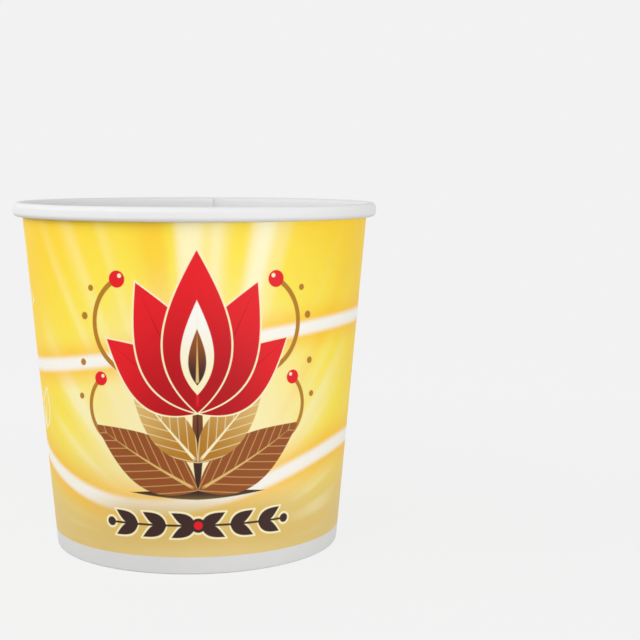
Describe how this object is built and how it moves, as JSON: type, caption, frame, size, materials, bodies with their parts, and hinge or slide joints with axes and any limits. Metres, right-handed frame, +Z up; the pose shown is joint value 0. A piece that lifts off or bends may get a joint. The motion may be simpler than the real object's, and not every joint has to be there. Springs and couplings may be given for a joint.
{
  "type": "paper cup",
  "caption": "Tapered single-wall paper cup for hot drinks, with a rolled rim, a lapped side seam, a folded foot and a recessed base disc.",
  "frame": {"origin": "centre of the standing edge, on the surface that the cup stands on", "axes": "+Z up along the cup's axis, -Y towards the front of the print, the side seam at +Y"},
  "size_m": [0.062, 0.062, 0.0588],
  "materials": {
    "printed_board": "satin",
    "white_board": "satin"
  },
  "bodies": {
    "root": {"sidewall": "printed_board", "base_disc": "white_board"}
  },
  "joints": []
}
